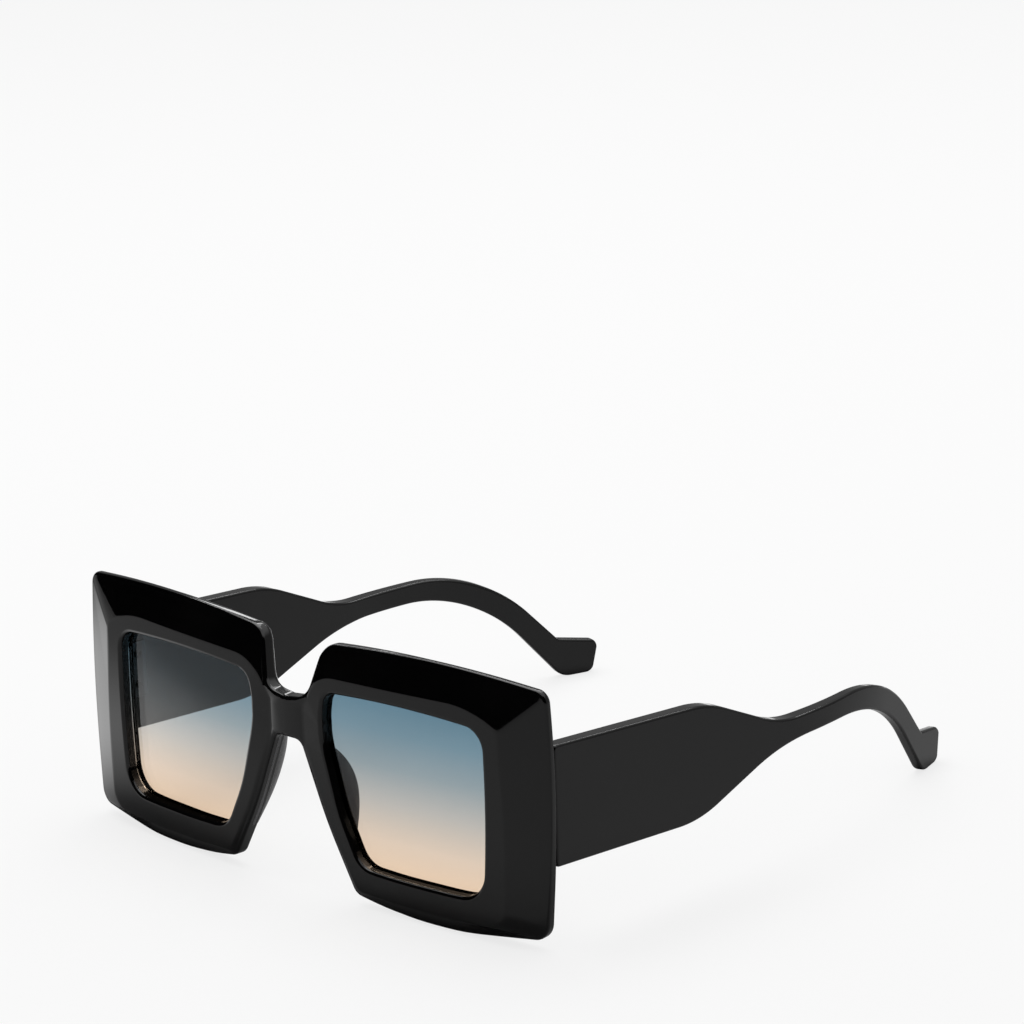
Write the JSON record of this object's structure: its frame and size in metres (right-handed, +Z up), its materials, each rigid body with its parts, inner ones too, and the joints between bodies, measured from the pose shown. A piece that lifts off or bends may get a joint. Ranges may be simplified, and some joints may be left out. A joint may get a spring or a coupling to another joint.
{
  "type": "sunglasses",
  "caption": "Oversized square sunglasses with a faceted, gently wrapped front, gradient lenses and broad temples that fold on barrel hinges.",
  "frame": {"origin": "centre of the footprint of the open glasses, on the surface that they stand on", "axes": "+X to the wearer's left, +Y from the front back along the open temples, +Z up; the front faces -Y"},
  "size_m": [0.1472, 0.1513, 0.0583],
  "materials": {
    "gloss_black": "polished black acetate",
    "gradient_lens": "tinted, blue-grey at the top fading to a pale peach at the bottom",
    "hinge_steel": "plain satin hinge metal"
  },
  "bodies": {
    "front": {"front_frame": "gloss_black", "lens_left": "gradient_lens", "nose_pad_left": "gloss_black", "hinge_front_leaf_left": "hinge_steel", "hinge_screw_left": "hinge_steel", "front_leaf_screw_left_lower": "hinge_steel", "front_leaf_screw_left_upper": "hinge_steel", "lens_right": "gradient_lens", "nose_pad_right": "gloss_black", "hinge_front_leaf_right": "hinge_steel", "hinge_screw_right": "hinge_steel", "front_leaf_screw_right_lower": "hinge_steel", "front_leaf_screw_right_upper": "hinge_steel"},
    "temple_left": {"temple_left": "gloss_black", "temple_core_left": "hinge_steel", "hinge_temple_leaf_left": "hinge_steel", "temple_leaf_screw_left_lower": "hinge_steel", "temple_leaf_screw_left_upper": "hinge_steel"},
    "temple_right": {"temple_right": "gloss_black", "temple_core_right": "hinge_steel", "hinge_temple_leaf_right": "hinge_steel", "temple_leaf_screw_right_lower": "hinge_steel", "temple_leaf_screw_right_upper": "hinge_steel"}
  },
  "joints": [
    {"name": "temple_left_fold", "type": "hinge", "parent": "front", "child": "temple_left", "pos_m": [0.06587, -0.06485, 0.032], "axis": [0, 0, 1], "range_deg": [0, 85]},
    {"name": "temple_right_fold", "type": "hinge", "parent": "front", "child": "temple_right", "pos_m": [-0.06587, -0.06485, 0.032], "axis": [0, 0, -1], "range_deg": [0, 57]}
  ]
}
